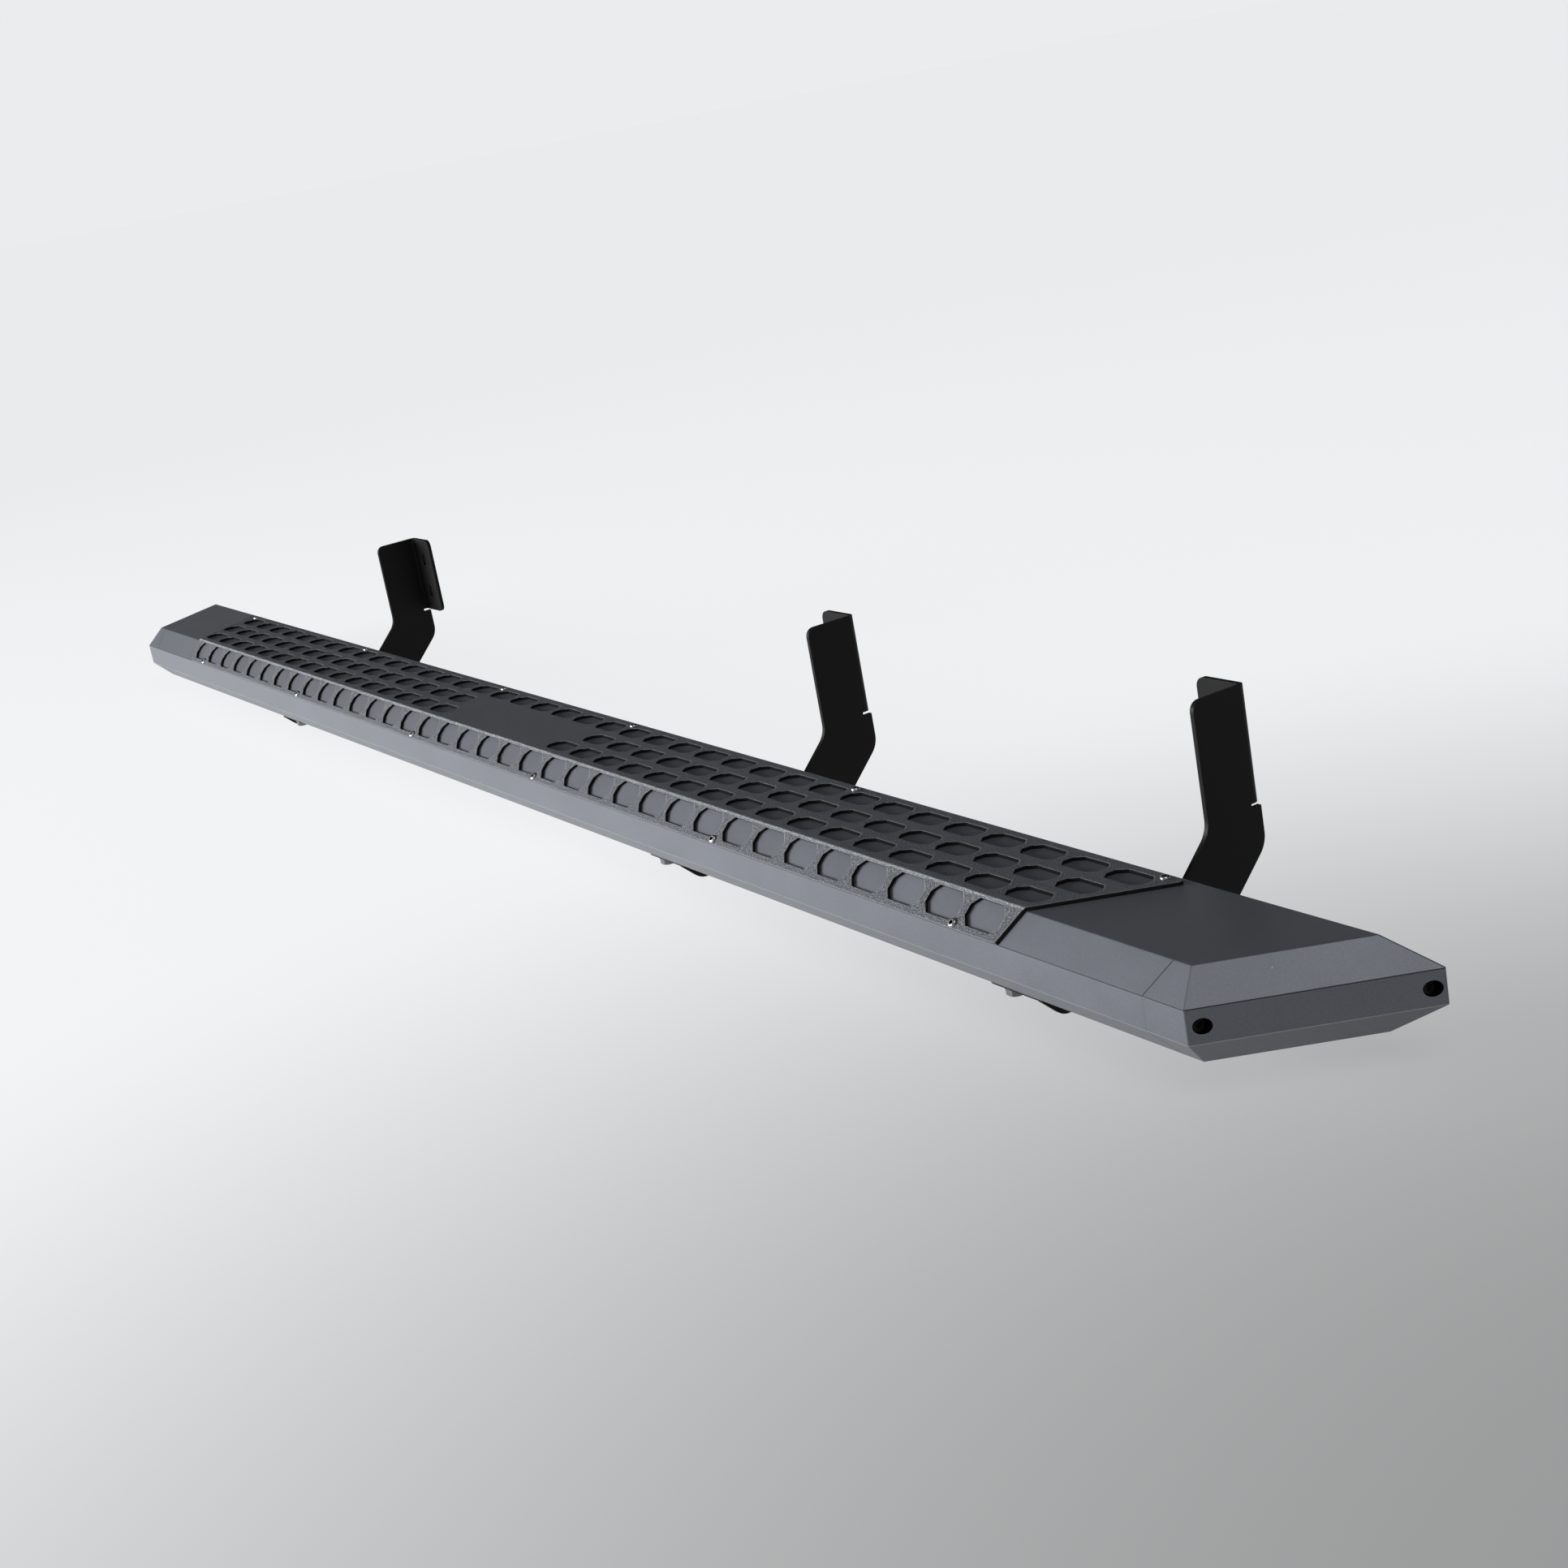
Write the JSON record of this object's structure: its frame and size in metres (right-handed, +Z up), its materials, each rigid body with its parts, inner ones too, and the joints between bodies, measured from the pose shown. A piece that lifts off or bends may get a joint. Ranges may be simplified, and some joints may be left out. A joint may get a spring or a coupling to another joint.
{
  "type": "side step bar",
  "caption": "Wide side step bar with bevelled slanted ends, a pierced tread cover and bolt-on brackets that rise to the vehicle.",
  "frame": {"origin": "middle of the tread cover's flat top: halfway along the bar, on the bar's centre line, at the height of the step surface", "axes": "+X along the bar towards its front end, +Y towards the vehicle (inboard), +Z up"},
  "size_m": [2.309, 0.2439, 0.186],
  "materials": {
    "body_coat": "fine-texture dark grey powder coat on extruded aluminium",
    "cap_coat": "fine-texture dark grey powder coat on cast aluminium",
    "tread_coat": "coarse grit black powder coat on steel plate",
    "bracket_coat": "satin black powder coat on steel",
    "stainless": "plain stainless steel",
    "plated_steel": "zinc plate",
    "black_fasteners": "black oxide"
  },
  "bodies": {
    "root": {"bar_extrusion": "body_coat", "front_end_cap": "cap_coat", "rear_end_cap": "cap_coat", "front_cap_screws": "black_fasteners", "rear_cap_screws": "black_fasteners", "tread_cover": "tread_coat", "cover_screws_outboard": "stainless", "cover_screws_inboard": "stainless", "insert_nuts_outboard": "plated_steel", "insert_nuts_inboard": "plated_steel", "bracket_front": "bracket_coat", "bracket_middle": "bracket_coat", "bracket_rear": "bracket_coat", "bolt_washers_front": "plated_steel", "bolt_washers_middle": "plated_steel", "bolt_washers_rear": "plated_steel", "bracket_bolts_front": "plated_steel", "bracket_bolts_middle": "plated_steel", "bracket_bolts_rear": "plated_steel", "slot_nuts_front": "plated_steel", "slot_nuts_middle": "plated_steel", "slot_nuts_rear": "plated_steel"}
  },
  "joints": []
}
